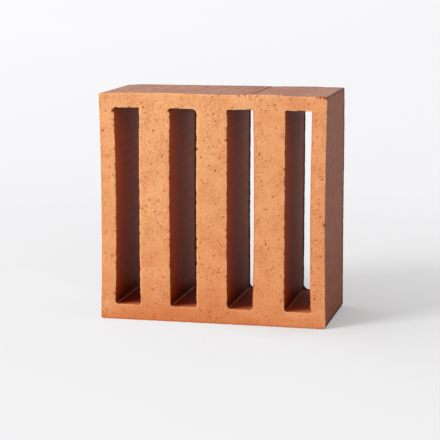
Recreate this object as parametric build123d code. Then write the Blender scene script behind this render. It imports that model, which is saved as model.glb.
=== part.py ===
from build123d import *
import os

# A square terracotta screen brick, in millimetres. The clay leaves the die as a bar along Y and a wire
# cuts it into bricks, so the die gives the outline and the slots, and the wire gives the front and back.
# X runs across the front, Z runs up, and the origin is the middle of the bed face.

# The length of bar between two cuts
cut_depth = 100.0

# The section from side to side: side wall, outer slot, rib, inner slot, then the middle rib
side_wall = 12.9
outer_slot_width = 22.65
inner_slot_width = 23.8
rib_width = 27.1

# The section from bed to top
bottom_wall = 14.0
slot_height = 173.5
top_wall = 12.5

# The sides dry a little hollow: this is how far they draw in, halfway up
side_hollow = 1.2

# The corners of the section. The clay slumps where it rests, so the lower corners are the rounder ones.
bed_corner_radius = 2.4
top_corner_radius = 0.9
slot_floor_radius = 3.2
slot_ceiling_radius = 1.2

# How far a cutting shape runs past what it cuts
overrun = 5.0

# What the sizes above add up to, from the middle of the brick outwards and from the bed up
rib_spacing = rib_width + inner_slot_width
half_width = rib_width / 2 + rib_spacing + outer_slot_width + side_wall
brick_width = 2 * half_width
brick_height = bottom_wall + slot_height + top_wall


def round_corners(outline, lower_radius, upper_radius):
    """The same outline with its lowest and its highest corners rounded."""
    outline = fillet(outline.vertices().group_by(Axis.Y)[0], lower_radius)
    return fillet(outline.vertices().group_by(Axis.Y)[-1], upper_radius)


def bar_outline():
    """The outside of the bar, with its hollow sides, before the corners are rounded."""
    waist = half_width - side_hollow
    halfway_up = brick_height / 2
    bed = Line((-half_width, 0), (half_width, 0))
    right = ThreePointArc((half_width, 0), (waist, halfway_up), (half_width, brick_height))
    top = Line((half_width, brick_height), (-half_width, brick_height))
    left = ThreePointArc((-half_width, brick_height), (-waist, halfway_up), (-half_width, 0))
    return make_face([bed, right, top, left])


def slots():
    """The four slots. The side walls keep one thickness, so the outer slots follow the hollow sides."""
    between_sides = (Pos(side_wall, 0) * bar_outline()) & (Pos(-side_wall, 0) * bar_outline())
    band = Pos(0, bottom_wall) * Rectangle(brick_width, slot_height, align=(Align.CENTER, Align.MIN))
    rib = Rectangle(rib_width, brick_height + 2 * overrun, align=(Align.CENTER, Align.MIN))
    ribs = Sketch() + [Pos(place * rib_spacing, -overrun) * rib for place in (-1, 0, 1)]
    return round_corners((between_sides & band) - ribs, slot_floor_radius, slot_ceiling_radius)


def slotted_brick():
    """One brick, cut from the bar with the wire square to it and stood upright."""
    bar = round_corners(bar_outline(), bed_corner_radius, top_corner_radius)
    return extrude(Plane.XZ * (bar - slots()), cut_depth / 2, both=True)


brick = slotted_brick()
brick.label = "slotted_brick"
os.makedirs("parts", exist_ok=True)
export_step(brick, "parts/slotted_brick.step")
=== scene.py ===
import math
import random

import bpy
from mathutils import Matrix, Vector, kdtree, noise
from mathutils.geometry import delaunay_2d_cdt


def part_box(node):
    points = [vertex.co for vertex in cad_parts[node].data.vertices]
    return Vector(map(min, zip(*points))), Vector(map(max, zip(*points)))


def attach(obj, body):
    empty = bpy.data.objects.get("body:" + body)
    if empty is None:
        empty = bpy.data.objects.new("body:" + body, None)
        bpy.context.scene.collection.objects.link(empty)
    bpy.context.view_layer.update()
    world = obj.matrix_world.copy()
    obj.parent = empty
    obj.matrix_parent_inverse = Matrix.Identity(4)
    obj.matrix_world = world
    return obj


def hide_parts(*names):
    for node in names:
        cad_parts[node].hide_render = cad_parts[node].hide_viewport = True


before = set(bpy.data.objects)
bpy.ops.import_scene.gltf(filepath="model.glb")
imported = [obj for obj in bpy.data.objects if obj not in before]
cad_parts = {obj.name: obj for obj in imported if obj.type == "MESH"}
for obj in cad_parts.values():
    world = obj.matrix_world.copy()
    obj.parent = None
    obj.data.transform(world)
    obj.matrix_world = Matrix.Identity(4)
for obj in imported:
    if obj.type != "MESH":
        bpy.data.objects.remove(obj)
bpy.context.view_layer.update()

# The brick: one bar of red-firing clay, pressed through a die as an upright square with hollow sides and
# four slots, cut to length with a wire, dried and fired. Its outlines are walked anticlockwise in short
# steps, which the two cuts and all the walls share. Sizes are in millimetres until the mesh is made.
mm = 0.001
low, high = (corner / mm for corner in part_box("slotted_brick"))
brick_top = high.z
half_width = (high.x - low.x) / 2
half_depth = (high.y - low.y) / 2
slot_floor = 13.9
slot_ceiling = 186.1
outline_step = 0.85
quarter_turn = math.pi / 2

# The two ends of the brick, each as the way along y that it faces
front, back = -1, 1

# The corners of an outline, from the lower right one round to the lower left one
bar_corner_radii = (2.4, 0.9, 0.9, 2.4)
slot_corner_radii = (1.3, 0.9, 0.4, 1.3)
slumped_corner_radii = (1.3, 3.6, 0.4, 1.3)


def walk_outline(left, right, floor, ceiling, radii):
    """Places about a step apart round an upright rectangle with round corners, each with its way out."""
    lower_right, upper_right, upper_left, lower_left = radii
    corners = (
        (Vector((right - lower_right, floor + lower_right)), lower_right),
        (Vector((right - upper_right, ceiling - upper_right)), upper_right),
        (Vector((left + upper_left, ceiling - upper_left)), upper_left),
        (Vector((left + lower_left, floor + lower_left)), lower_left),
    )
    arcs = []
    for quarter, (centre, radius) in enumerate(corners, start=-1):
        pieces = max(2, round(radius * quarter_turn / outline_step))
        turns = [(quarter + k / pieces) * quarter_turn for k in range(pieces + 1)]
        ways = [Vector((math.cos(turn), math.sin(turn))) for turn in turns]
        arcs.append([(centre + radius * way, way) for way in ways])
    places = []
    for arc, next_arc in zip(arcs, arcs[1:] + arcs[:1]):
        places += arc
        start, way = arc[-1]
        end = next_arc[0][0]
        pieces = max(1, round((end - start).length / outline_step))
        places += [(start.lerp(end, k / pieces), way) for k in range(1, pieces)]
    return places


# The slots from left to right. The die's cores are worn, so no two slots are quite alike.
slot_sides = (
    (-86.7, -63.9, slot_corner_radii),
    (-36.5, -13.4, slumped_corner_radii),
    (14.0, 35.65, slot_corner_radii),
    (64.0, 86.9, slot_corner_radii),
)

# Each outline is a list of (place, way into the clay). The bar's comes first, and then the slots'.
bar = 0
bar_walk = walk_outline(-half_width, half_width, low.z, brick_top, bar_corner_radii)
outlines = [[(place, -way) for place, way in bar_walk]]
for left, right, radii in slot_sides:
    outlines.append(walk_outline(left, right, slot_floor, slot_ceiling, radii))

# The die's marks: fine lines, slow waves and a few scratches that run the whole length of the bar, and one
# shallow step along the top where two plates of the die meet. They are the same at both ends of the brick.
die_line_height = 0.05
die_lines_per_mm = 0.8
die_wave_height = 0.16
die_waves_per_mm = 0.09
die_changes_per_mm = 0.012
line_shift_per_outline = 40
wave_shift_per_outline = 70
scratch_depth = 0.16
scratch_width = 0.9
scratch_strength = (0.4, 1.0)
scratches_per_outline = 9
scratch_seed = 11
plate_step_height = 0.3
plate_step_x = 33.3
plate_step_lean = -0.018
plate_step_width = 0.7
plate_step_widths_to_fade = 60
chance = random.Random(scratch_seed)
die_scratches = [
    [(chance.choice(walk)[0], chance.uniform(*scratch_strength)) for _ in range(scratches_per_outline)]
    for walk in outlines
]


def die_noise(place, along, per_mm, shift):
    """Noise from -1 to 1 with so many waves to a mm of the section, and other noise for another shift."""
    return noise.noise(Vector((place.x * per_mm, along, place.y * per_mm + shift)))


def die_relief(outline, place, y):
    """How far the skin lies under the die's own surface there, in mm."""
    along = y * die_changes_per_mm
    fine = die_noise(place, along, die_lines_per_mm, line_shift_per_outline * outline)
    slow = die_noise(place, along, die_waves_per_mm, wave_shift_per_outline * outline)
    depth = die_line_height * (1 + fine) + die_wave_height * (1 + slow) / 2
    for centre, strength in die_scratches[outline]:
        apart = (place - centre).length
        if apart < scratch_width:
            depth += scratch_depth * strength * (1 - apart / scratch_width)
    if outline == bar and place.y > brick_top - plate_step_width:
        across = max(0, (place.x - plate_step_x - plate_step_lean * y) / plate_step_width)
        depth += plate_step_height * min(1, across) * max(0, 1 - across / plate_step_widths_to_fade)
    return depth


# Near the cuts the soft clay slumped into the lower corners of some slots and made them rounder: the radii
# there are (left, right) for each slot.
slump_radii = {
    front: ((2.6, 1.5), (0.9, 2.0), (3.3, 2.2), (2.4, 1.8)),
    back: ((1.5, 1.3), (1.5, 1.3), (2.8, 1.3), (4.4, 1.5)),
}
slump_reach = 4.0


def slump(outline, place, y):
    """The place moved onto the rounder corner that the slot has at that place along the bar."""
    if outline == bar:
        return place
    left, right, (corner_radius, *_) = slot_sides[outline - 1]
    left_radius, right_radius = slump_radii[back if y > 0 else front][outline - 1]
    fading = math.exp((abs(y) - half_depth) / slump_reach)
    place = place.copy()
    for side, edge, slump_radius in ((1, left, left_radius), (-1, right, right_radius)):
        radius = corner_radius + (slump_radius - corner_radius) * fading
        centre = Vector((edge + side * radius, slot_floor + radius))
        out = place - centre
        if side * out.x < 0 and out.y < 0 and out.length > radius:
            place = centre + out * (radius / out.length)
    return place


# The wire drags its way down through the bar, so the cuts are not quite flat, and grainy to the touch.
# Each kind of roughness is (waves to the mm across, waves to the mm up, shift from one cut to the other).
wire_wave_height = 0.22
wire_waves = (0.018, 0.03, 9)
grain_height = 0.07
drag_share = 0.6
drag_lines = (0.35, 0.05, 5)
grain_share = 0.8
torn_grains = (0.62, 0.62, 3)


def cut_noise(x, z, end, roughness):
    """Noise from -1 to 1 over the cut at that end."""
    per_mm_across, per_mm_up, shift = roughness
    return noise.noise(Vector((x * per_mm_across, z * per_mm_up, shift * end)))


def cut_relief(x, z, end):
    """How far the wire went into the clay there, in mm."""
    wave = cut_noise(x, z, end, wire_waves)
    rough = drag_share * cut_noise(x, z, end, drag_lines) + grain_share * cut_noise(x, z, end, torn_grains)
    return wire_wave_height * (1 + wave) / 2 + grain_height * (1 + rough)


# The arrises, where the wire left the clay: nearly sharp, a little crumbled all along, and broken out
# where it dragged a grain with it. The breaks that show most are listed, as (x, z, reach, depth).
# A break gets painted shade, darker the further its depth lies along dark_break, up to darkest_break.
crumbs_per_step = 0.27
crumb_seed = 100
crumb_reach = (0.8, 2.6)
crumb_fullness = 0.6
bar_crumb_depth = (0.05, 0.55)
slot_crumb_depth = (0.08, 0.85)
dark_break = (0.4, 0.9)
darkest_break = 1.5
front_breaks = (
    (-86.7, 183.6, 1.9, 1.4), (-36.6, 184.2, 1.8, 1.4), (14, 160.3, 1.4, 1.2), (-13.4, 152, 1.4, 1.2),
    (100, 186, 1.6, 0.8), (100, 90, 2.0, 1.1), (100, 198, 1.6, 1.2), (97, 200, 1.9, 1.4),
    (94, 200, 1.7, 1.3), (91, 200, 1.2, 1.1), (-52, 200, 1.2, 0.8), (-38, 200, 1.0, 0.7),
    (6, 200, 1.2, 1.1), (24, 200, 1.3, 1.1), (29, 200, 1.5, 1.0), (40, 200, 1.0, 0.8),
    (58, 200, 1.1, 0.9), (64, 200, 1.0, 0.8), (63.8, 137, 1.2, 1.1), (63, 79, 1.7, 0.9),
    (-65, 100, 1.5, 0.8), (-87, 137, 1.6, 0.9), (-87, 171, 1.3, 0.9), (-100, 154, 1.6, 0.6),
    (-100, 122, 1.2, 0.5), (-65, 182, 1.2, 0.4),
)
back_breaks = ((-100, 60, 2.2, 1.0), (36, 187, 1.8, 0.9), (-62, 0, 2.4, 0.7), (88, 120, 1.6, 0.8))


def crumble(walk, crumb_depth, breaks, seed):
    """How far the arris is set back at each place of an outline, in mm."""
    chance = random.Random(seed)
    setback = [0.0] * len(walk)
    crumbs = []
    for _ in range(int(crumbs_per_step * len(walk))):
        centre = chance.choice(walk)[0]
        reach = chance.uniform(*crumb_reach)
        crumbs.append((centre, reach, chance.triangular(*crumb_depth, crumb_depth[0])))
    crumbs += [(Vector((x, z)), reach, depth) for x, z, reach, depth in breaks]
    for centre, reach, depth in crumbs:
        for number, (place, _) in enumerate(walk):
            share = 1 - (place - centre).length / reach
            if share > 0:
                setback[number] = max(setback[number], depth * share ** crumb_fullness)
    return setback


# The arrises carry a painted highlight, a pale rim, on some sides and a deeper orange rim on others:
# 1 is pale and -1 is deep, for the (right, top, left, bottom) arrises of the bar and of each slot.
arris_highlights_and_rims = (
    (0.5, 0.5, -0.6, -1.0),
    (0.5, 0.6, 0.3, 0.25),
    (0.5, 0.6, 0.3, 0.25),
    (-1.1, 0.6, 0.3, 0.25),
    (-1.1, 0.6, 0.3, 0.25),
)


def highlight_and_rim_at(outline, inward):
    """The painted highlight (above 0) or the deeper orange rim (below 0) of the arris on that side of an
    outline.
    """
    right, top, left, bottom = arris_highlights_and_rims[outline]
    way = -inward if outline == bar else inward
    if abs(way.x) > abs(way.y):
        return right if way.x > 0 else left
    return top if way.y > 0 else bottom


# The walls of the bar and of its slots, in rows from one cut to the other. A row is (depth from the cut,
# how far it is set back into the clay, how much of a crumb's setback it takes, how much deeper a crumb
# pulls it). The bands of faces next to a cut are broken clay like the cut itself. A wall is the top, the
# bed or the floor of a slot where its way in is more upright than level_way. The finishes stand in the
# order in which the mesh gets its materials.
arris_rows = (
    (0.0, 0.12, 0.9, 0.1),
    (0.05, 0.04, 0.75, 0.5),
    (0.25, 0.0, 0.35, 0.85),
    (1.3, 0.0, 0.0, 0.25),
    (3.3, 0.0, 0.0, 0.0),
    (6.5, 0.0, 0.0, 0.0),
    (12.0, 0.0, 0.0, 0.0),
    (20.0, 0.0, 0.0, 0.0),
    (30.0, 0.0, 0.0, 0.0),
    (40.0, 0.0, 0.0, 0.0),
)
cut_relief_reach = 3.3
wear_reach = 1.6
bar_broken_bands = 2
slot_broken_bands = 1
level_way = 0.7
cut_finish, side_finish, top_finish, slot_finish, slot_floor_finish = range(5)
vertices = []
faces = []
finishes = []
is_smooth = []
arris_wear = []
arris_highlight_and_rim = []
pit_shade = []
from_left_wall = []
cut_rings = {front: [], back: []}


def add_vertex(x, y, z, wear=0.0, highlight_and_rim=0.0, shade=0.0, from_left=0.0):
    """The number of a new vertex, with what the materials read there."""
    vertices.append(Vector((x, y, z)))
    arris_wear.append(wear)
    arris_highlight_and_rim.append(highlight_and_rim)
    pit_shade.append(shade)
    from_left_wall.append(from_left * mm)
    return len(vertices) - 1


for outline, walk in enumerate(outlines):
    rows = []
    outline_left = -half_width if outline == bar else slot_sides[outline - 1][0]
    crumb_depth = bar_crumb_depth if outline == bar else slot_crumb_depth
    for end in (front, back):
        breaks = front_breaks if end == front else back_breaks
        setbacks = crumble(walk, crumb_depth, breaks, seed=crumb_seed * outline + end)
        end_rows = []
        for depth, inset, crumb_share, crumb_pull in arris_rows:
            row = []
            cut_share = max(0.0, 1 - depth / cut_relief_reach)
            y = end * (half_depth - depth)
            for (place, inward), setback in zip(walk, setbacks):
                under = die_relief(outline, place, y) + inset + crumb_share * setback
                spot = slump(outline, place, y) + under * inward
                behind = depth + crumb_pull * setback + cut_share * cut_relief(spot.x, spot.y, end)
                # A break's painted shade grows with its depth
                dark = (setback - dark_break[0]) / (dark_break[1] - dark_break[0])
                row.append(add_vertex(
                    spot.x, end * (half_depth - behind), spot.y,
                    wear=max(0, 1 - depth / wear_reach),
                    highlight_and_rim=highlight_and_rim_at(outline, inward) if depth == 0 else 0.0,
                    shade=min(darkest_break, max(0.0, dark)) if crumb_share > 0 else 0.0,
                    from_left=place.x - outline_left,
                ))
            end_rows.append(row)
        cut_rings[end].append(end_rows[0])
        rows.append(end_rows)
    front_rows, back_rows = rows
    middle = []
    for place, inward in walk:
        spot = place + die_relief(outline, place, 0.0) * inward
        middle.append(add_vertex(spot.x, 0.0, spot.y, from_left=place.x - outline_left))
    rows = front_rows + [middle] + back_rows[::-1]
    broken_bands = bar_broken_bands if outline == bar else slot_broken_bands
    for band, (row, next_row) in enumerate(zip(rows, rows[1:])):
        at_cut = min(band, len(rows) - 2 - band) < broken_bands
        for k, (_, inward) in enumerate(walk):
            if at_cut:
                finish = cut_finish
            elif outline == bar:
                finish = top_finish if abs(inward.y) > level_way else side_finish
            else:
                finish = slot_floor_finish if inward.y < -level_way else slot_finish
            after = (k + 1) % len(walk)
            corners = (row[k], row[after], next_row[after], next_row[k])
            faces.append(corners[::-1] if outline == bar else corners)
            finishes.append(finish)
            is_smooth.append(not at_cut)

# The cut faces, pitted where the wire pulled grains out. The largest pits on the front are listed,
# as (x, z, radius). Clearances of a pit are (how many radii, how many mm more). The rings of points round
# a pit are (share of its radius, share of its depth, shade, how many points), and small pits lack the last.
face_step = 1.62
face_row_height = face_step * math.sqrt(0.75)
face_unevenness = 0.28
face_to_outline = 0.42
face_to_ring = 0.95
face_to_pit = (1.5, 0.45)
pits_per_cut = 205
pit_seed = 40
pit_radii = (0.26, 0.7)
favour_for_small_pits = 2.5
pits_apart = 1.7
pit_to_outline = (1.6, 0.7)
pit_to_arris = (1.8, 0.4)
pit_depths = (0.55, 1.0)
pit_stretches = (0.8, 1.5)
pit_raggedness = (0.85, 1.15)
pit_rings = ((0.55, 0.8, 1.0, 6), (1.0, 0.06, 0.45, 7), (1.5, 0.0, 0.0, 7))
least_radius_with_rim = 0.5
triangles_inside = 1
points_meet_within = 1e-6
front_pits = (
    (-97, 166, 0.9), (-94, 183, 0.8), (-60, 187, 0.8), (-62, 191, 0.7), (-51, 167, 0.9), (-43, 145, 0.9),
    (-41, 115, 0.8), (-61, 99, 0.7), (-45, 84, 0.7), (-9, 145, 0.8), (-2, 138, 0.7), (4, 134, 0.9),
    (3, 176, 0.8), (-3, 181, 0.7), (11, 94, 0.8), (55, 191, 1.0), (56, 187, 0.7), (84, 193, 0.8),
    (41, 149, 1.0), (53, 113, 0.9), (45, 102, 0.7), (47, 102, 0.7), (40, 92, 0.8), (97, 129, 0.8),
    (96, 97, 0.7), (47, 72, 1.0), (93, 77, 0.9), (96, 63, 0.7), (91, 26, 1.0), (61, 23, 0.9),
)


def in_clay(x, z, margin):
    """True where the section has clay, with that much clay to the nearest outline."""
    if abs(x) > half_width - margin or not low.z + margin < z < brick_top - margin:
        return False
    if not slot_floor - margin < z < slot_ceiling + margin:
        return True
    return all(not left - margin < x < right + margin for left, right, _ in slot_sides)


def clear_of(radius, clearance):
    """How far something stays from the middle of a pit of that radius."""
    radii, more = clearance
    return radii * radius + more


def scatter_pits(chance, placed):
    """Adds small pits at random to the ones that are placed, none touching another."""
    pits = list(placed)
    least, most = pit_radii
    while len(pits) < pits_per_cut:
        x = chance.uniform(-half_width, half_width)
        z = chance.uniform(low.z, brick_top)
        radius = least + (most - least) * chance.random() ** favour_for_small_pits
        apart = all(math.hypot(x - px, z - pz) > pits_apart * (radius + pr) for px, pz, pr in pits)
        if apart and in_clay(x, z, clear_of(radius, pit_to_outline)):
            pits.append((x, z, radius))
    return pits


def as_tree(places):
    """A tree that finds the nearest of the places, which are (x, z)."""
    tree = kdtree.KDTree(len(places))
    for number, (x, z) in enumerate(places):
        tree.insert((x, z, 0), number)
    tree.balance()
    return tree


def cut_face(end, placed_pits):
    """Fills the section at one end with small triangles that follow its outlines and its pits."""
    chance = random.Random(pit_seed + end)
    rings = cut_rings[end]
    numbers = [k for ring in rings for k in ring]
    flat = [vertices[k].xz for k in numbers]
    ring_tree = as_tree(flat)
    # A pit that would run into a crumbled arris is left out
    pits = [
        (x, z, radius) for x, z, radius in scatter_pits(chance, placed_pits)
        if ring_tree.find((x, z, 0))[2] > clear_of(radius, pit_to_arris)
    ]
    pit_tree = as_tree([(x, z) for x, z, _ in pits])
    surface = end * half_depth

    def add_point(x, z, sink=0.0, shade=0.0):
        flat.append(Vector((x, z)))
        numbers.append(add_vertex(x, surface - end * (cut_relief(x, z, end) + sink), z, shade=shade))

    for x, z, radius in pits:
        depth = radius * chance.uniform(*pit_depths)
        stretch = math.sqrt(chance.uniform(*pit_stretches))
        lean = chance.uniform(0, math.tau)
        add_point(x, z, sink=depth, shade=1.0)
        for share, sink, shade, points in pit_rings:
            if share > 1 and radius < least_radius_with_rim:
                continue
            for k in range(points):
                angle = lean + math.tau * k / points
                reach = radius * share * chance.uniform(*pit_raggedness)
                ring_x = x + reach * math.cos(angle) / stretch
                ring_z = z + reach * math.sin(angle) * stretch
                add_point(ring_x, ring_z, sink=sink * depth, shade=shade)
    for row in range(int((brick_top - low.z) / face_row_height)):
        for column in range(int(2 * half_width / face_step) + 1):
            aside = chance.uniform(-face_unevenness, face_unevenness)
            upward = chance.uniform(-face_unevenness, face_unevenness)
            x = -half_width + (column + (row % 2) / 2 + aside) * face_step
            z = low.z + (row + 0.5 + upward) * face_row_height
            if not in_clay(x, z, face_to_outline):
                continue
            _, nearest_pit, away = pit_tree.find((x, z, 0))
            near_pit = away < clear_of(pits[nearest_pit][2], face_to_pit)
            if not near_pit and ring_tree.find((x, z, 0))[2] >= face_to_ring:
                add_point(x, z)

    edges = []
    start = 0
    for ring in rings:
        edges += [(start + k, start + (k + 1) % len(ring)) for k in range(len(ring))]
        start += len(ring)
    filled = delaunay_2d_cdt(flat, edges, [], triangles_inside, points_meet_within)
    _, _, triangles, sources, _, _ = filled
    ring_of = [n for n, ring in enumerate(rings) for _ in ring]
    ring_of += [None] * (len(flat) - len(ring_of))
    for triangle in triangles:
        corners = [sources[k][0] for k in triangle]
        # The triangles that fill a slot go round it the same way as its outline
        first, second, third = corners
        owner = ring_of[first]
        if owner and owner == ring_of[second] == ring_of[third]:
            onward = (first < second) + (second < third) + (third < first) == 2
            anticlockwise = (flat[second] - flat[first]).cross(flat[third] - flat[first]) > 0
            if onward == anticlockwise:
                continue
        if end == back:
            corners.reverse()
        faces.append(tuple(numbers[k] for k in corners))
        finishes.append(cut_finish)
        is_smooth.append(True)


cut_face(front, front_pits)
cut_face(back, ())

# What drying, handling and firing did to the finished brick. Its walls and ribs bowed halfway up, the sides
# less so at the back than at the front. The right side leaned in near the top, and the top sank a little.
# Corners were knocked, most of all the two at the back of the top. Bows are (x, how far the wall there
# moved to the right), sags are (x, how far the top there sank), knocks are (corner, way out, depth).
wall_bows = (
    (-100.0, 1.45), (-87.5, 2.0), (-64.0, -0.4), (-37.0, -0.5), (-13.5, -0.3),
    (14.0, -0.4), (36.0, 1.2), (64.0, -0.1), (87.5, -1.5), (100.0, -1.45),
)
side_bow_lost_at_back = 0.62
wall_wander = 0.15
wander_per_mm = Vector((0.045, 0.008, 0.012))
front_top_sag = (
    (-100.0, 1.8), (-88.0, 1.4), (-80.0, 0.8), (-60.0, 0.7), (-52.0, 0.5), (-36.0, 0.2), (-22.0, 0.8),
    (20.0, 1.0), (29.0, 0.8), (36.0, 0.0), (58.0, 0.0), (66.0, 0.9), (73.0, 1.2), (85.0, 1.25), (100.0, 0.7),
)
back_top_sag = (
    (-100.0, 1.7), (-70.0, 1.5), (0.0, 1.2), (35.0, 1.15), (45.0, 0.8), (72.0, 0.75), (85.0, 1.15),
    (100.0, 1.2),
)
top_unevenness = 0.12
unevenness_per_mm = Vector((0.03, 0.02, 0))
unevenness_start = Vector((0, 0, 7))
right_lean = 1.0
right_lean_foot = 130.0
right_lean_at_front = 0.3
knocked_corners = (
    (Vector((-half_width, half_depth, brick_top)), Vector((-0.09, 0.1, 1.0)), 2.7),
    (Vector((-half_width, half_depth, brick_top)), Vector((-0.75, 0.35, 0.55)), 2.6),
    (Vector((half_width, half_depth, brick_top)), Vector((0.7, 0.35, 0.65)), 2.3),
    (Vector((-half_width, -half_depth, brick_top)), Vector((-0.6, -0.5, 0.6)), 0.45),
    (Vector((half_width, half_depth, low.z)), Vector((0.6, 0.6, -0.5)), 0.8),
)
knock_roughness = 0.25
knock_waves_per_mm = 0.9
knock_wear = 0.6


def between(pairs, x):
    """The value at x on the straight lines that join the pairs."""
    for (left, first), (right, second) in zip(pairs, pairs[1:]):
        if x <= right:
            return first + (second - first) * max(0.0, x - left) / (right - left)
    return second


outer_slot_left, outer_slot_right, _ = slot_sides[-1]
for number, place in enumerate(vertices):
    back_share = (place.y + half_depth) / (2 * half_depth)
    halfway = 1 - ((place.z - brick_top / 2) / (brick_top / 2)) ** 2
    side_share = min(1, max(0, (abs(place.x) - outer_slot_left) / (outer_slot_right - outer_slot_left)))
    top_share = max(0, (place.z - slot_ceiling) / (brick_top - slot_ceiling))
    wander = wall_wander * noise.noise(place * wander_per_mm)
    sag = top_unevenness * noise.noise(place * unevenness_per_mm + unevenness_start)
    sag += between(front_top_sag, place.x) * (1 - back_share) + between(back_top_sag, place.x) * back_share
    bow = between(wall_bows, place.x) * (1 - side_bow_lost_at_back * back_share * side_share)
    place.x += bow * halfway + wander * (1 - side_share)
    if place.x > 0:
        lean = right_lean * (right_lean_at_front + (1 - right_lean_at_front) * back_share)
        lean_share = max(0, (place.z - right_lean_foot) / (brick_top - right_lean_foot)) ** 2
        place.x -= lean * lean_share * side_share
    place.z -= sag * top_share
    for corner, way, depth in knocked_corners:
        way = way.normalized()
        rough = knock_roughness * noise.noise(place * knock_waves_per_mm)
        over = (place - corner).dot(way) + depth + rough
        if over > 0:
            place -= over * way
            arris_wear[number] = max(arris_wear[number], knock_wear)
    place.x = min(half_width, max(-half_width, place.x))
    place.y = min(half_depth, max(-half_depth, place.y))
    place.z = min(brick_top, max(low.z, place.z))

sharp_edge_angle = math.radians(65)
mesh = bpy.data.meshes.new("slotted_brick_clay")
mesh.from_pydata([place * mm for place in vertices], [], faces)
mesh.polygons.foreach_set("material_index", finishes)
mesh.polygons.foreach_set("use_smooth", is_smooth)
mesh.set_sharp_from_angle(angle=sharp_edge_angle)
for name, values in (
    ("arris_wear", arris_wear), ("arris_highlight_and_rim", arris_highlight_and_rim), ("pit_shade", pit_shade),
    ("from_left_wall", from_left_wall),
):
    mesh.attributes.new(name, "FLOAT", "POINT").data.foreach_set("value", values)
brick = bpy.data.objects.new("slotted_brick_clay", mesh)
bpy.context.scene.collection.objects.link(brick)
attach(brick, "root")
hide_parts("slotted_brick")

# The clay itself: a red-firing earthenware with pale grog and dark iron specks in it. Where the wire cut
# it, its grain is open and its colour clear; where the die rubbed it, it has a denser and browner skin.
# The materials measure in metres, and a colour is its red, green and blue.


def set_inputs(tree, node, inputs):
    """Sets each input of a node to a value, or links it from a socket."""
    for name, value in inputs.items():
        socket = node.inputs[name]
        if isinstance(value, bpy.types.NodeSocket):
            tree.links.new(value, socket)
        else:
            socket.default_value = (*value, 1.0) if socket.type == "RGBA" else value


def add_node(tree, kind, inputs, **settings):
    """A new node with its settings and its inputs."""
    node = tree.nodes.new(kind)
    for name, value in settings.items():
        setattr(node, name, value)
    set_inputs(tree, node, inputs)
    return node


def blend_colour(tree, share, first, second):
    """The colour that lies share of the way from the first to the second."""
    return add_node(tree, "ShaderNodeMix", {0: share, 6: first, 7: second}, data_type="RGBA").outputs[2]


def in_range(tree, value, start, end, first=0.0, last=1.0, **settings):
    """The value moved from the range start to end onto the range first to last, and kept in it."""
    inputs = {"Value": value, "From Min": start, "From Max": end, "To Min": first, "To Max": last}
    return add_node(tree, "ShaderNodeMapRange", inputs, clamp=True, **settings).outputs[0]


def work(tree, operation, *values):
    """What comes of an operation on sockets or values."""
    return add_node(tree, "ShaderNodeMath", dict(enumerate(values)), operation=operation).outputs[0]


def vector_work(tree, operation, *vectors):
    """What comes of an operation on vectors, as the outputs Vector and Value."""
    return add_node(tree, "ShaderNodeVectorMath", dict(enumerate(vectors)), operation=operation).outputs


def add_noise(tree, place, scale, detail, waver=0.0):
    """Noise about 0.5 over the place, with so many waves to a metre."""
    inputs = {"Vector": place, "Scale": scale, "Detail": detail, "Distortion": waver}
    return add_node(tree, "ShaderNodeTexNoise", inputs).outputs[0]


def new_group(name, inputs, outputs):
    """An empty node group, what it is given (a place and those values), and the node for its outputs."""
    tree = bpy.data.node_groups.new(name, "ShaderNodeTree")
    tree.interface.new_socket("Place", in_out="INPUT", socket_type="NodeSocketVector")
    for socket_name, usual_value in inputs.items():
        socket = tree.interface.new_socket(socket_name, in_out="INPUT", socket_type="NodeSocketFloat")
        socket.default_value = usual_value
    for socket_name in outputs:
        tree.interface.new_socket(socket_name, in_out="OUTPUT", socket_type="NodeSocketFloat")
    return tree, tree.nodes.new("NodeGroupInput").outputs, tree.nodes.new("NodeGroupOutput")


# How the clay varies: slow clouds from the kiln, pale grog, iron specks in swarms, and the fine grain of it
mottles_per_cloud = 7.0
swarms_per_cloud = 2.0
grains_per_metre = 1400.0
cloud_edge = (0.35, 0.65)
grog_edge = (0.57, 0.7)
swarm_edge = (0.44, 0.6)
iron_edge = (0.71, 0.75)
clay_body, given, result = new_group(
    "clay_body", {"Cloud Size": 0.03, "Grog Size": 0.0016, "Iron Size": 0.0011},
    ("Cloud", "Mottle", "Grog", "Iron", "Grain"),
)
place = given["Place"]
per_cloud = work(clay_body, "DIVIDE", 1.0, given["Cloud Size"])
per_grog = work(clay_body, "DIVIDE", 1.0, given["Grog Size"])
per_iron = work(clay_body, "DIVIDE", 1.0, given["Iron Size"])
per_mottle = work(clay_body, "MULTIPLY", per_cloud, mottles_per_cloud)
per_swarm = work(clay_body, "MULTIPLY", per_cloud, swarms_per_cloud)
in_swarm = in_range(clay_body, add_noise(clay_body, place, per_swarm, detail=1.0), *swarm_edge)
iron = in_range(clay_body, add_noise(clay_body, place, per_iron, detail=0.0), *iron_edge)
set_inputs(clay_body, result, {
    "Cloud": in_range(clay_body, add_noise(clay_body, place, per_cloud, detail=3.0), *cloud_edge),
    "Mottle": in_range(clay_body, add_noise(clay_body, place, per_mottle, detail=4.0), *cloud_edge),
    "Grog": in_range(clay_body, add_noise(clay_body, place, per_grog, detail=1.0), *grog_edge),
    "Iron": work(clay_body, "MULTIPLY", in_swarm, iron),
    "Grain": add_noise(clay_body, place, grains_per_metre, detail=3.0),
})

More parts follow.
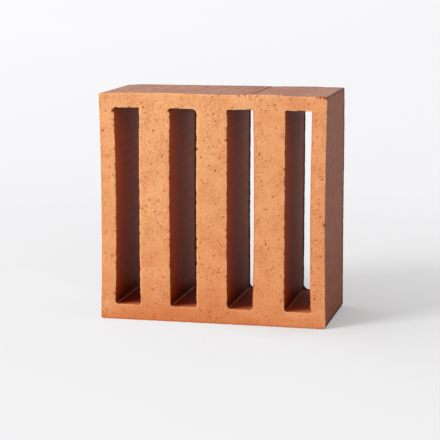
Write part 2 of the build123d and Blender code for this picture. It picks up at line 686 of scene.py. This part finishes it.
# Lines drawn through the clay: across the section by the wire, or along the bar by the die
line_edge = (0.3, 0.7)
drawn_lines, given, result = new_group(
    "drawn_lines", {"Line Width": 0.001, "Line Length": 0.02, "Waver": 0.0}, ("Lines", "Ridges")
)
per_width = work(drawn_lines, "DIVIDE", 1.0, given["Line Width"])
per_length = work(drawn_lines, "DIVIDE", 1.0, given["Line Length"])
stretch = add_node(drawn_lines, "ShaderNodeCombineXYZ", {"X": per_width, "Y": per_length, "Z": per_width})
stretched = vector_work(drawn_lines, "MULTIPLY", given["Place"], stretch.outputs[0])["Vector"]
ridges = add_noise(drawn_lines, stretched, 1.0, detail=2.0, waver=given["Waver"])
set_inputs(drawn_lines, result, {"Lines": in_range(drawn_lines, ridges, *line_edge), "Ridges": ridges})


def grouped(tree, group, inputs):
    """The outputs of a node group placed in a material, with its own values."""
    return add_node(tree, "ShaderNodeGroup", inputs, node_tree=group).outputs


def from_mesh(tree, name):
    """What the mesh says of that name at each point."""
    return add_node(tree, "ShaderNodeAttribute", {}, attribute_name=name).outputs["Fac"]


def new_clay(name):
    """A material, its nodes, and where a point lies on the brick: whole, and across, along and up."""
    material = bpy.data.materials.new(name)
    material.use_nodes = True
    tree = material.node_tree
    place = tree.nodes.new("ShaderNodeTexCoord").outputs["Object"]
    return material, tree, place, add_node(tree, "ShaderNodeSeparateXYZ", {0: place}).outputs


def add_layers(tree, colour, layers):
    """The colour with others over it, each given as (where it lies, how much of it shows, colour)."""
    for where, share, layer_colour in layers:
        colour = blend_colour(tree, work(tree, "MULTIPLY", where, share), colour, layer_colour)
    return colour


def finish_clay(tree, colour, roughness, sheen, height, bump_strength, bump_depth):
    """Gives a material's shader its colour, its dullness, its sheen and its fine relief."""
    bump = {"Height": height, "Strength": bump_strength, "Distance": bump_depth}
    set_inputs(tree, tree.nodes["Principled BSDF"], {
        "Base Color": colour, "Roughness": roughness, "Specular IOR Level": sheen,
        "Normal": add_node(tree, "ShaderNodeBump", bump).outputs[0],
    })


# The wire-cut clay, with painted shade that makes it deeper and redder toward the right and toward the bed.
# The blotches on the front are (x, z, how far across, how far up, strength), in mm: most the kiln left, and
# the deep ones along the bed add to that painted shade.
deep_blotch_colour = (0.52, 0.13, 0.03)
deep_blotches = (
    (-35, 2, 75, 40, 0.8), (-72, 3, 20, 8, 0.4), (-94, 34, 14, 18, 0.3), (27, 3, 24, 8, 0.45),
    (-52, 58, 16, 14, 0.4), (7, 65, 14, 24, 0.35), (2, 28, 16, 16, 0.35), (44, 25, 18, 15, 0.25),
    (92, 120, 12, 9, 0.3), (50, 180, 16, 10, 0.3), (74, 191, 18, 10, 0.35),
)
pale_blotch_colour = (0.82, 0.46, 0.23)
pale_blotches = (
    (-44, 21, 13, 15, 0.3), (-55, 179, 14, 10, 0.4), (3, 179, 15, 11, 0.65), (-5, 158, 10, 12, 0.4),
    (-42, 150, 12, 24, 0.3), (-50, 100, 14, 20, 0.4), (38, 194, 24, 9, 0.6), (80, 6, 32, 14, 0.2),
    (-94, 16, 12, 13, 0.4),
)
smear_colour = (0.86, 0.50, 0.32)
smears = ((91, 124, 2, 5, 0.6),)
cut_colour = (0.73, 0.347, 0.147)
clouded_cut_colour = (0.775, 0.383, 0.168)
wire_slant = -math.pi / 4


def add_blotches(tree, place, colour, blotches, blotch_colour, second_way):
    """The colour with blotches on it, which are placed and measured across and along the second way."""
    first_way = Vector((1, 0, 0))
    for across, along, reach_across, reach_along, share in blotches:
        per_reach = (first_way / reach_across + second_way / reach_along) / mm
        centre = first_way * (across / reach_across) + second_way * (along / reach_along)
        measured = vector_work(tree, "MULTIPLY", place, per_reach)["Vector"]
        away = vector_work(tree, "DISTANCE", measured, centre)["Value"]
        colour = add_layers(tree, colour, [(in_range(tree, away, 1.0, 0.0), share, blotch_colour)])
    return colour


cut_clay, tree, place, (across, _, up) = new_clay("cut_clay")
body = grouped(tree, clay_body, {"Place": place, "Cloud Size": 0.03})
turned = add_node(tree, "ShaderNodeMapping", {"Vector": place, "Rotation": (quarter_turn, 0, 0)}).outputs[0]
drag = grouped(tree, drawn_lines, {"Place": turned, "Line Width": 0.0012, "Line Length": 0.011})
slant = {"Vector": place, "Rotation": (quarter_turn, 0, wire_slant)}
slanted = add_node(tree, "ShaderNodeMapping", slant).outputs[0]
tear_shape = {"Place": slanted, "Line Width": 0.0009, "Line Length": 0.0026, "Waver": 0.8}
tears = grouped(tree, drawn_lines, tear_shape)["Ridges"]
torn = add_noise(tree, place, 75.0, detail=2.0)
tear = work(tree, "MULTIPLY", in_range(tree, tears, 0.48, 0.64), in_range(tree, torn, 0.42, 0.58))
scabs = add_noise(tree, place, 420.0, detail=2.0)
scabbed = add_noise(tree, place, 38.0, detail=2.0)
scab = work(tree, "MULTIPLY", in_range(tree, scabs, 0.5, 0.68), in_range(tree, scabbed, 0.36, 0.62))
freckles = in_range(tree, add_noise(tree, place, 950.0, detail=2.0), 0.42, 0.68)
# Painted highlight: a pale rim on the arrises marked pale; a deeper orange rim on those marked deep
highlight_and_rim = from_mesh(tree, "arris_highlight_and_rim")
painted_arris_highlight = in_range(tree, highlight_and_rim, 0.0, 2.5)
deep_arris_rim = in_range(tree, highlight_and_rim, 0.0, -1.3)
# Painted shade in the pits and in the deeper breaks of the arrises, near-black in the deepest breaks
pit = from_mesh(tree, "pit_shade")
deep_break_shade = in_range(tree, pit, 1.0, darkest_break)
# Painted shade: the cut clay deeper toward the right and, in three steps, toward the bed
rightward = in_range(tree, across, -0.06, 0.09)
lower_shade = in_range(tree, up, 0.2, 0.0)
near_bed_shade = in_range(tree, up, 0.03, 0.0)
at_bed_shade = in_range(tree, up, 0.011, 0.001)
colour = blend_colour(tree, body["Cloud"], cut_colour, clouded_cut_colour)
colour = add_layers(tree, colour, (
    (body["Mottle"], 0.36, (0.81, 0.43, 0.2)),
    (rightward, 0.6, (0.69, 0.29, 0.123)),
    (lower_shade, 0.55, (0.66, 0.25, 0.091)),
    (near_bed_shade, 0.5, (0.61, 0.19, 0.062)),
    (at_bed_shade, 0.4, (0.54, 0.145, 0.04)),
))
for blotches, blotch_colour in (
    (deep_blotches, deep_blotch_colour), (pale_blotches, pale_blotch_colour), (smears, smear_colour),
):
    colour = add_blotches(tree, place, colour, blotches, blotch_colour, second_way=Vector((0, 0, 1)))
colour = add_layers(tree, colour, (
    (freckles, 0.4, (0.55, 0.18, 0.05)),
    (drag["Lines"], 0.25, (0.60, 0.23, 0.085)),
    (tear, 0.55, (0.56, 0.15, 0.03)),
    (scab, 0.34, (0.56, 0.15, 0.035)),
    (body["Grog"], 0.2, (0.86, 0.50, 0.27)),
    (body["Iron"], 0.8, (0.38, 0.055, 0.0)),
    (painted_arris_highlight, 1.0, (0.95, 0.58, 0.33)),
    (deep_arris_rim, 1.0, (0.54, 0.135, 0.033)),
    (pit, 0.7, (0.33, 0.04, 0.0)),
    (deep_break_shade, 0.85, (0.09, 0.01, 0.0)),
))
height = work(tree, "MULTIPLY_ADD", drag["Ridges"], 0.6, work(tree, "MULTIPLY", body["Grain"], 0.6))
height = work(tree, "MULTIPLY_ADD", body["Mottle"], 0.25, height)
height = work(tree, "MULTIPLY_ADD", tear, -0.5, height)
finish_clay(tree, colour, roughness=0.9, sheen=0.3, height=height, bump_strength=0.8, bump_depth=0.0004)
mesh.materials.append(cut_clay)

# The skin that the die left on the sides and in the slots, denser and browner than the cut clay. Both are
# painted deeper low down as shade. The slot walls are redder than the sides, partly as painted bounce light
# between them, and a painted sheen makes them paler and greyer away from the front. Painted shade darkens
# their far ends, and the foot and the top of their walls; on the sides it does so at the right alone.
speck_colour = (0.16, 0.045, 0.02)
painted_shade_colour = (0.025, 0.004, 0.001)
far_shade_steepness = 3.0
duller_below = 0.085


def die_skin(
    name, roughness, low_roughness, sheen, plain, clouded, cloudiness, right, line, low, inner_sheen, inner_left_sheen,
    far_shade, far_shade_reach, shade_across, shade_bands, worn,
):
    """A die skin with its long lines, its painted shade and sheen, and a little wear at the arrises."""
    material, tree, place, (across, along, up) = new_clay(name)
    body = grouped(tree, clay_body, {"Place": place, "Cloud Size": 0.05, "Iron Size": 0.0009})
    drawn = grouped(tree, drawn_lines, {"Place": place, "Line Width": 0.0016, "Line Length": 0.09})
    rightward = in_range(tree, across, -0.08, 0.0)
    leftward = in_range(tree, across, -0.045, -0.075)
    # Painted sheen deeper in from the front, and painted shade low down and at the far end
    inward = in_range(tree, along, -0.035, 0.01)
    lower_shade = in_range(tree, up, 0.17, 0.01)
    shaded_side = in_range(tree, across, *shade_across)
    far_shade_share = work(tree, "POWER", in_range(tree, along, *far_shade_reach), far_shade_steepness)
    far_shade_share = work(tree, "MULTIPLY", far_shade_share, shaded_side)
    rough = in_range(tree, up, duller_below, 0.0, roughness, low_roughness)
    rough = work(tree, "MAXIMUM", rough, far_shade_share)
    colour = blend_colour(tree, body["Cloud"], plain, clouded)
    colour = add_layers(tree, colour, (
        (rightward, 1.0, right),
        (inward, 1.0, blend_colour(tree, leftward, inner_sheen, inner_left_sheen)),
        (lower_shade, 0.9, low),
        (body["Mottle"], cloudiness, clouded),
        (drawn["Lines"], 0.4, line),
        (body["Iron"], 0.6, speck_colour),
        (far_shade_share, 1.0, far_shade),
    ))
    # Painted shade: dark bands at the foot and the top of the walls
    for start, end, share in shade_bands:
        painted_shade = work(tree, "MULTIPLY", in_range(tree, up, start, end), work(tree, "MULTIPLY", shaded_side, share))
        colour = blend_colour(tree, painted_shade, colour, painted_shade_colour)
        rough = work(tree, "MAXIMUM", rough, painted_shade)
    colour = add_layers(tree, colour, [(from_mesh(tree, "arris_wear"), 0.5, worn)])
    height = work(tree, "MULTIPLY_ADD", body["Grain"], 0.3, drawn["Ridges"])
    finish_clay(tree, colour, rough, sheen, height, bump_strength=0.5, bump_depth=0.0003)
    return material


side_skin = die_skin(
    "side_skin", roughness=0.6, low_roughness=0.74, sheen=0.14,
    plain=(0.25, 0.073, 0.037), clouded=(0.40, 0.145, 0.08), cloudiness=0.5,
    right=(0.25, 0.073, 0.035), line=(0.20, 0.055, 0.026), low=(0.20, 0.04, 0.004),
    inner_sheen=(0.26, 0.078, 0.04), inner_left_sheen=(0.26, 0.078, 0.04),
    far_shade=(0.10, 0.012, 0.002), far_shade_reach=(0.036, 0.0468), shade_across=(0.0, 0.05),
    shade_bands=((0.0052, 0.0022, 0.95), (0.1958, 0.1975, 0.45)), worn=(0.20, 0.04, 0.015),
)
# The slot walls: redder than the sides, partly as painted bounce light between them
slot_skin = die_skin(
    "slot_skin", roughness=0.5, low_roughness=0.56, sheen=0.025,
    plain=(0.48, 0.09, 0.010), clouded=(0.55, 0.13, 0.024), cloudiness=0.35,
    right=(0.42, 0.084, 0.008), line=(0.43, 0.08, 0.012), low=(0.31, 0.024, 0.0),
    inner_sheen=(0.64, 0.255, 0.13), inner_left_sheen=(0.75, 0.315, 0.16),
    far_shade=(0.06, 0.01, 0.003), far_shade_reach=(0.018, 0.0455), shade_across=(-0.2, -0.1),
    shade_bands=((0.026, 0.0152, 0.6), (0.1838, 0.1856, 0.9)), worn=(0.24, 0.03, 0.01),
)

# The skin of the top and the bed, which rubbed on the rollers while the clay was soft, and has dust fired
# onto it: patches of greyer and more orange clay, and a dark line where the two plates of the die meet, with
# a fork and a pale streak to its left. Patches are (x, y, how far across, how far along, strength), in mm.
rust_colour = (0.34, 0.09, 0.02)
rust_patches = (
    (-46, -24, 18, 14, 0.75), (-58, 30, 24, 22, 0.5), (24, -20, 14, 24, 0.55), (53, -5, 22, 50, 0.5),
    (24, 30, 16, 22, 0.4),
)
dust_colour = (0.40, 0.19, 0.15)
dust_patches = ((-8, 0, 18, 28, 0.4), (90, -8, 20, 55, 0.6), (-85, 10, 12, 50, 0.3))
greyer_colour = (0.34, 0.158, 0.118)
warmer_colour = (0.49, 0.215, 0.095)
plate_line_x = plate_step_x * mm
plate_fork_away = 0.006
plate_streak_away = 0.0045
plate_line_strength = 0.8
plate_fork_strength = 0.75
top_roughness = 0.6
top_skin, tree, place, (across, along, up) = new_clay("top_skin")
body = grouped(tree, clay_body, {"Place": place, "Cloud Size": 0.03, "Iron Size": 0.0012})
drawn = grouped(tree, drawn_lines, {"Place": place, "Line Width": 0.0019, "Line Length": 0.022})["Ridges"]
patches = grouped(tree, drawn_lines, {"Place": place, "Line Width": 0.012, "Line Length": 0.03})["Ridges"]
rubbed = grouped(tree, drawn_lines, {"Place": place, "Line Width": 0.004, "Line Length": 0.009})["Ridges"]
line_x = work(tree, "MULTIPLY_ADD", along, plate_step_lean, plate_line_x)
from_line = work(tree, "SUBTRACT", across, line_x)
from_fork = work(tree, "ABSOLUTE", work(tree, "ADD", from_line, plate_fork_away))
from_streak = work(tree, "ABSOLUTE", work(tree, "ADD", from_line, plate_streak_away))
plate_line = in_range(tree, work(tree, "ABSOLUTE", from_line), 0.0017, 0.0006)
plate_line = work(tree, "MULTIPLY", plate_line, plate_line_strength)
plate_fork = work(tree, "MULTIPLY", in_range(tree, from_fork, 0.0017, 0.0005), plate_fork_strength)
plate_streak = in_range(tree, from_streak, 0.003, 0.001)
streaks = in_range(tree, drawn, 0.42, 0.6)
dark_rub = in_range(tree, rubbed, 0.5, 0.66)
pale_rub = in_range(tree, rubbed, 0.47, 0.34)
rightward = in_range(tree, across, -0.05, 0.1)
at_front = in_range(tree, along, -0.02, -0.05)
at_back = in_range(tree, along, 0.034, 0.05)
# Painted shadow: a near-black line along the foot of the bed on the right side
foot_shadow = in_range(tree, up, 0.005, 0.0022)
right_side = in_range(tree, across, 0.0962, 0.098)
colour = blend_colour(tree, in_range(tree, patches, 0.38, 0.62), greyer_colour, warmer_colour)
colour = add_layers(tree, colour, (
    (at_front, 0.6, (0.37, 0.16, 0.12)),
    (rightward, 0.5, (0.28, 0.10, 0.055)),
    (body["Mottle"], 0.4, (0.50, 0.24, 0.145)),
    (streaks, 0.45, (0.22, 0.07, 0.042)),
))
for patch_places, patch_colour in ((rust_patches, rust_colour), (dust_patches, dust_colour)):
    colour = add_blotches(tree, place, colour, patch_places, patch_colour, second_way=Vector((0, 1, 0)))
colour = add_layers(tree, colour, (
    (dark_rub, 0.45, (0.20, 0.06, 0.03)),
    (pale_rub, 0.25, (0.54, 0.25, 0.15)),
    (at_back, 0.7, (0.32, 0.10, 0.055)),
    (plate_streak, 0.4, (0.46, 0.21, 0.14)),
    (work(tree, "MAXIMUM", plate_line, plate_fork), 1.0, (0.20, 0.02, 0.004)),
    (body["Iron"], 0.6, speck_colour),
    (from_mesh(tree, "arris_wear"), 0.35, (0.34, 0.10, 0.05)),
    (foot_shadow, right_side, (0.025, 0.007, 0.003)),
))
rough = work(tree, "MULTIPLY_ADD", plate_line, 1 - top_roughness, top_roughness)
height = work(tree, "MULTIPLY_ADD", body["Grain"], 0.5, drawn)
finish_clay(tree, colour, rough, sheen=0.25, height=height, bump_strength=0.5, bump_depth=0.0004)

# The floors of the slots: dull and dark, with a painted pool of light at the front that widens away from the
# left wall, a painted highlight all along the corner with that wall, and painted shade at the far edge
left_floor_colour = (0.20, 0.006, 0.0)
right_floor_colour = (0.30, 0.045, 0.008)
light_patch_slope = 0.6
slot_floor_roughness = 0.65
slot_floor_skin, tree, place, (across, along, _) = new_clay("slot_floor_skin")
body = grouped(tree, clay_body, {"Place": place, "Cloud Size": 0.05, "Iron Size": 0.0009})
from_wall = from_mesh(tree, "from_left_wall")
from_cut = work(tree, "ADD", along, half_depth * mm)
# Painted light: a pool of the lamp's light at the front, reaching further back away from the left wall
beyond_light_patch = work(tree, "SUBTRACT", from_cut, work(tree, "MULTIPLY", from_wall, light_patch_slope))
painted_light_patch = in_range(tree, beyond_light_patch, 0.005, -0.007)
# Painted highlight along the corner with the left wall
by_wall = in_range(tree, from_wall, 0.0014, 0.0009)
painted_corner_highlight = work(tree, "MULTIPLY", by_wall, in_range(tree, along, 0.043, 0.03))
# Painted shade at the far edge
painted_shade = in_range(tree, along, 0.042, 0.047)
colour = blend_colour(tree, in_range(tree, across, -0.06, 0.07), left_floor_colour, right_floor_colour)
colour = add_layers(tree, colour, (
    (body["Mottle"], 0.2, (0.34, 0.07, 0.015)),
    (painted_light_patch, 1.0, (0.54, 0.16, 0.055)),
    (painted_corner_highlight, 0.8, (0.50, 0.17, 0.06)),
    (painted_shade, 1.0, painted_shade_colour),
))
rough = work(tree, "MAXIMUM", painted_shade, slot_floor_roughness)
finish_clay(tree, colour, rough, sheen=0.03, height=body["Grain"], bump_strength=0.5, bump_depth=0.0003)
for skin in (side_skin, top_skin, slot_skin, slot_floor_skin):
    mesh.materials.append(skin)

# The table that the brick stands on: a wide, plain, pale floor that fades into the background far out,
# so that it has no edge, and keeps the brick's shadow.
floor_radius = 6.0
floor_corners = 96
fade_reach = (0.08, 0.9)
haze_share = 0.22
lit_share = 0.55
lit_way = Vector((-0.6, -0.8, 0.0))
lit_reach = (-0.02, 0.05)
lit_away = (0.5, 0.12)
floor_colour = (0.748, 0.755, 0.768)
near_haze_colour = (0.895, 0.895, 0.91)
near_haze_reach = (0.3, 1.6)
background_colour = (0.965, 0.965, 0.98)
# Painted shade: the background a little darker to the right, away from the lamp
right_background_colour = (0.90, 0.90, 0.912)
haze_across = (-2.0, 0.6)


def seen_directly(tree):
    """1 for rays from the camera, and for those that it sees in a sheen or through glass, and else 0."""
    path = tree.nodes.new("ShaderNodeLightPath").outputs
    seen = work(tree, "MAXIMUM", path["Is Camera Ray"], path["Is Glossy Ray"])
    return work(tree, "MAXIMUM", seen, path["Is Transmission Ray"])


turns = [math.tau * k / floor_corners for k in range(floor_corners)]
rim = [(floor_radius * math.cos(turn), floor_radius * math.sin(turn), low.z * mm) for turn in turns]
floor_mesh = bpy.data.meshes.new("floor")
floor_mesh.from_pydata(rim, [], [range(floor_corners)])
floor = bpy.data.objects.new("floor", floor_mesh)
bpy.context.scene.collection.objects.link(floor)
floor_paint = bpy.data.materials.new("floor_paint")
floor_paint.use_nodes = True
tree = floor_paint.node_tree
shader = tree.nodes["Principled BSDF"]
set_inputs(tree, shader, {"Base Color": floor_colour, "Roughness": 1.0, "Specular IOR Level": 0.0})
place = tree.nodes.new("ShaderNodeTexCoord").outputs["Object"]
across = add_node(tree, "ShaderNodeSeparateXYZ", {0: place}).outputs["X"]
away = vector_work(tree, "LENGTH", place)["Value"]
fade = in_range(tree, away, *fade_reach, haze_share, 1.0, interpolation_type="SMOOTHSTEP")
# Painted light: more of the near-white glow in front and to the left of the brick, which washes out its soft
# shade and warm bounce light there
lit_side = vector_work(tree, "DOT_PRODUCT", place, lit_way)["Value"]
lit = work(tree, "MULTIPLY", in_range(tree, lit_side, *lit_reach), in_range(tree, away, *lit_away))
fade = work(tree, "MAXIMUM", fade, work(tree, "MULTIPLY_ADD", lit, lit_share, haze_share))
# Painted shade: the haze a little darker to the right, away from the lamp
rightward = in_range(tree, across, *haze_across)
haze_colour = blend_colour(tree, rightward, background_colour, right_background_colour)
haze_colour = blend_colour(tree, in_range(tree, away, *near_haze_reach), near_haze_colour, haze_colour)
haze = add_node(tree, "ShaderNodeEmission", {"Color": haze_colour, "Strength": 1.0})
haze_seen = work(tree, "MULTIPLY", fade, seen_directly(tree))
mixed = add_node(tree, "ShaderNodeMixShader", {0: haze_seen, 1: shader.outputs[0], 2: haze.outputs[0]})
set_inputs(tree, tree.nodes["Material Output"], {"Surface": mixed.outputs[0]})
floor_mesh.materials.append(floor_paint)

# The light: one wide soft lamp from the front left, low over the floor, and a glow from all round that is
# brighter behind and above. The background that the camera sees is near white, and so is what shows in
# the sheen of the skin.
lamp_azimuth = -45.0
lamp_elevation = 25.0
lamp_distance = 3.2
lamp_size = 1.5
lamp_watts = 82.0
glow_colour = (1.0, 0.99, 0.98)
dim_glow = 0.12
bright_glow = 0.95
bright_way = Vector((-0.4, 0.3, 0.8))
backdrop_across = (-0.36, 0.12)


def way_out(azimuth, elevation):
    """The way out from the brick, so many degrees round from its front to the right, and so many up."""
    turn, rise = math.radians(azimuth), math.radians(elevation)
    return Vector((math.sin(turn) * math.cos(rise), -math.cos(turn) * math.cos(rise), math.sin(rise)))


lamp_data = bpy.data.lights.new("soft_lamp", "AREA")
lamp_data.shape = "DISK"
lamp_data.size = lamp_size
lamp_data.energy = lamp_watts
lamp = bpy.data.objects.new("soft_lamp", lamp_data)
bpy.context.scene.collection.objects.link(lamp)
lamp_way = way_out(lamp_azimuth, lamp_elevation)
brick_middle = Vector((0, 0, brick_top / 2 * mm))
lamp.location = brick_middle + lamp_distance * lamp_way
lamp.rotation_euler = lamp_way.to_track_quat("Z", "Y").to_euler()

world = bpy.data.worlds.new("studio")
bpy.context.scene.world = world
world.use_nodes = True
tree = world.node_tree
way = tree.nodes.new("ShaderNodeTexCoord").outputs["Generated"]
across = add_node(tree, "ShaderNodeSeparateXYZ", {0: way}).outputs["X"]
toward = vector_work(tree, "DOT_PRODUCT", way, bright_way)["Value"]
strength = in_range(tree, toward, -1.0, 1.0, dim_glow, bright_glow, interpolation_type="SMOOTHSTEP")
glow = tree.nodes["Background"]
set_inputs(tree, glow, {"Color": glow_colour, "Strength": strength})
# Painted shade: the backdrop a little darker to the right, away from the lamp
rightward = in_range(tree, across, *backdrop_across)
backdrop_colour = blend_colour(tree, rightward, background_colour, right_background_colour)
backdrop = add_node(tree, "ShaderNodeBackground", {"Color": backdrop_colour, "Strength": 1.0})
seen = seen_directly(tree)
mixed = add_node(tree, "ShaderNodeMixShader", {0: seen, 1: glow.outputs[0], 2: backdrop.outputs[0]})
set_inputs(tree, tree.nodes["World Output"], {"Surface": mixed.outputs[0]})
bpy.context.scene.view_settings.view_transform = "Standard"

# The camera, as far round to the right and as high as the photograph's
camera_azimuth = 12.8
camera_elevation = 9.3
camera_distance = 1.461
camera_target = Vector((-0.00384, 0, 0.08305))
camera_lens = 134.53
camera_sees_to = 30.0
camera_data = bpy.data.cameras.new("camera")
camera_data.lens = camera_lens
camera_data.clip_end = camera_sees_to
camera = bpy.data.objects.new("camera", camera_data)
bpy.context.scene.collection.objects.link(camera)
camera_way = way_out(camera_azimuth, camera_elevation)
camera.location = camera_target + camera_distance * camera_way
camera.rotation_euler = camera_way.to_track_quat("Z", "Y").to_euler()
bpy.context.scene.camera = camera
